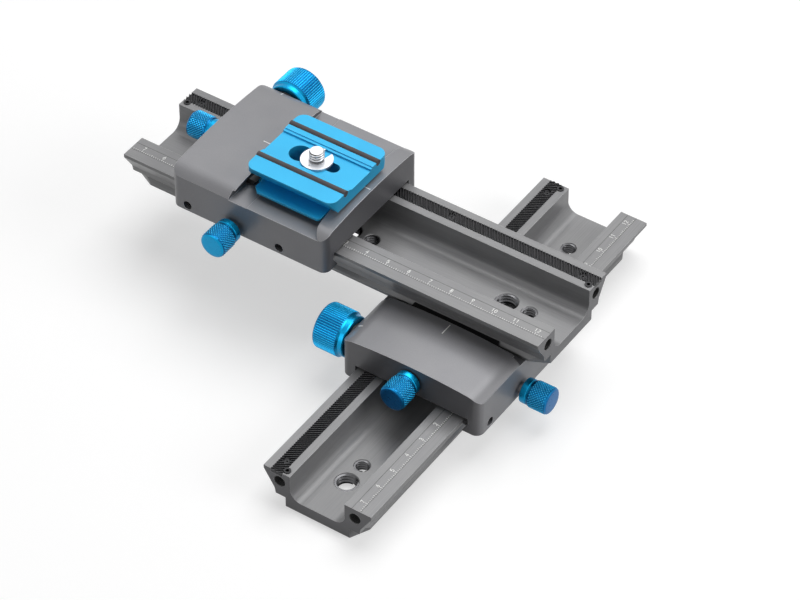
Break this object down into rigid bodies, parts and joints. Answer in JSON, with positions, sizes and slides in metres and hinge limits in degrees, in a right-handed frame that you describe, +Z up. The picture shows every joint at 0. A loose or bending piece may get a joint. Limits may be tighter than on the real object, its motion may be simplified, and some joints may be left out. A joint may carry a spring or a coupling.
{
  "type": "macro focusing rail",
  "caption": "Crossed macro focusing rail: geared dovetail slides with knurled knobs, locks and dovetail clamps, carrying a quick plate with a camera screw.",
  "frame": {"origin": "axis of the lower rail's central 3/8 inch socket, at the rail's underside", "axes": "+Z up out of the rails' top faces, +Y along the lower rail, +X along the upper rail, towards its end numbered 12"},
  "size_m": [0.2051, 0.2, 0.0711],
  "materials": {
    "grey_anodised_rail": "satin grey anodised",
    "grey_anodised_carriage": "satin grey anodised",
    "black_steel": "blackened steel",
    "dark_steel": "blackened steel",
    "steel": "turned steel",
    "bright_steel": "satin nickel-plated steel",
    "glide_plastic": "black low-friction plastic",
    "black_anodised": "black anodised",
    "brass": "machined brass",
    "blue_anodised_knob": "blue anodised",
    "blue_anodised_plate": "satin blue anodised",
    "rubber": "matt black rubber"
  },
  "bodies": {
    "lower_rail": {"lower_rail": "grey_anodised_rail", "lower_rack": "black_steel", "lower_rack_screws": "dark_steel", "lower_stop_screws": "steel"},
    "lower_carriage": {"lower_carriage": "grey_anodised_carriage", "lower_glide_strip": "glide_plastic", "lower_gib": "glide_plastic", "lower_gib_screws": "dark_steel", "lower_drive_bush": "black_anodised"},
    "lower_drive": {"lower_drive_shaft": "steel", "lower_pinion": "brass", "lower_drive_knob": "blue_anodised_knob", "lower_drive_knob_screw": "dark_steel"},
    "lower_lock_pad": {"lower_lock_pad": "brass"},
    "lower_lock_knob": {"lower_lock_knob": "blue_anodised_knob", "lower_lock_screw": "steel"},
    "lower_clamp_jaw": {"lower_clamp_jaw": "black_anodised"},
    "lower_clamp_knob": {"lower_clamp_knob": "blue_anodised_knob", "lower_clamp_screw": "steel"},
    "upper_rail": {"upper_rail": "grey_anodised_rail", "upper_rack": "black_steel", "upper_rack_screws": "dark_steel", "upper_stop_screws": "steel"},
    "upper_carriage": {"upper_carriage": "grey_anodised_carriage", "upper_glide_strip": "glide_plastic", "upper_gib": "glide_plastic", "upper_gib_screws": "dark_steel", "upper_drive_bush": "black_anodised"},
    "upper_drive": {"upper_drive_shaft": "steel", "upper_pinion": "brass", "upper_drive_knob": "blue_anodised_knob", "upper_drive_knob_screw": "dark_steel"},
    "upper_lock_pad": {"upper_lock_pad": "brass"},
    "upper_lock_knob": {"upper_lock_knob": "blue_anodised_knob", "upper_lock_screw": "steel"},
    "upper_clamp_jaw": {"upper_clamp_jaw": "black_anodised"},
    "upper_clamp_knob": {"upper_clamp_knob": "blue_anodised_knob", "upper_clamp_screw": "steel"},
    "quick_plate": {"quick_plate": "blue_anodised_plate", "grip_cords": "rubber"},
    "clip_washer": {"clip_washer": "bright_steel"},
    "camera_screw": {"camera_screw": "bright_steel"}
  },
  "joints": [
    {"name": "lower_slide", "type": "slide", "parent": "lower_rail", "child": "lower_carriage", "axis": [0, 1, 0], "range_m": [-0.0592, 0.0571]},
    {"name": "lower_drive_turn", "type": "hinge", "parent": "lower_carriage", "child": "lower_drive", "pos_m": [0, -0.02115, 0.0216], "axis": [-1, 0, 0], "range_deg": [-772, 745]},
    {"name": "lower_lock_push", "type": "slide", "parent": "lower_carriage", "child": "lower_lock_pad", "axis": [-1, 0, 0], "range_m": [0, 0.00025]},
    {"name": "lower_lock_turn", "type": "hinge", "parent": "lower_lock_pad", "child": "lower_lock_knob", "pos_m": [0.04, -0.00115, 0.014], "axis": [-1, 0, 0], "range_deg": [-5, 125]},
    {"name": "lower_clamp_push", "type": "slide", "parent": "lower_carriage", "child": "lower_clamp_jaw", "axis": [0, 1, 0], "range_m": [-0.004, 0]},
    {"name": "lower_clamp_turn", "type": "hinge", "parent": "lower_clamp_jaw", "child": "lower_clamp_knob", "pos_m": [0, -0.03365, 0.0247], "axis": [0, 1, 0], "range_deg": [-1450, 10]},
    {"name": "upper_slide", "type": "slide", "parent": "upper_rail", "child": "upper_carriage", "axis": [1, 0, 0], "range_m": [-0.0258, 0.0905]},
    {"name": "upper_drive_turn", "type": "hinge", "parent": "upper_carriage", "child": "upper_drive", "pos_m": [-0.11802, 0.0199, 0.0491], "axis": [0, 1, 0], "range_deg": [-337, 1180]},
    {"name": "upper_lock_push", "type": "slide", "parent": "upper_carriage", "child": "upper_lock_pad", "axis": [0, 1, 0], "range_m": [0, 0.00025]},
    {"name": "upper_lock_turn", "type": "hinge", "parent": "upper_lock_pad", "child": "upper_lock_knob", "pos_m": [-0.09802, -0.0201, 0.0415], "axis": [0, 1, 0], "range_deg": [-5, 125]},
    {"name": "upper_clamp_push", "type": "slide", "parent": "upper_carriage", "child": "upper_clamp_jaw", "axis": [1, 0, 0], "range_m": [-0.004, 0]},
    {"name": "upper_clamp_turn", "type": "hinge", "parent": "upper_clamp_jaw", "child": "upper_clamp_knob", "pos_m": [-0.13052, 0.0199, 0.0522], "axis": [1, 0, 0], "range_deg": [-1450, 10]},
    {"name": "upper_rail_shift", "type": "slide", "parent": "lower_carriage", "child": "upper_rail", "axis": [1, 0, 0], "range_m": [-0.02, 0.13]},
    {"name": "plate_shift", "type": "slide", "parent": "upper_carriage", "child": "quick_plate", "axis": [0, 1, 0], "range_m": [-0.01, 0.015]},
    {"name": "screw_shift", "type": "slide", "parent": "quick_plate", "child": "clip_washer", "axis": [1, 0, 0], "range_m": [-0.008, 0.008]},
    {"name": "screw_turn", "type": "hinge", "parent": "clip_washer", "child": "camera_screw", "pos_m": [-0.07697, 0.0164, 0.06], "axis": [0, 0, 1], "continuous": true}
  ],
  "couplings": [
    {"joint": "lower_drive_turn", "follows": "lower_slide", "rad_per_m": 227.27},
    {"joint": "lower_lock_turn", "follows": "lower_lock_push", "rad_per_m": 7854},
    {"joint": "lower_clamp_turn", "follows": "lower_clamp_push", "rad_per_m": 6283.2},
    {"joint": "upper_drive_turn", "follows": "upper_slide", "rad_per_m": 227.27},
    {"joint": "upper_lock_turn", "follows": "upper_lock_push", "rad_per_m": 7854},
    {"joint": "upper_clamp_turn", "follows": "upper_clamp_push", "rad_per_m": 6283.2}
  ]
}
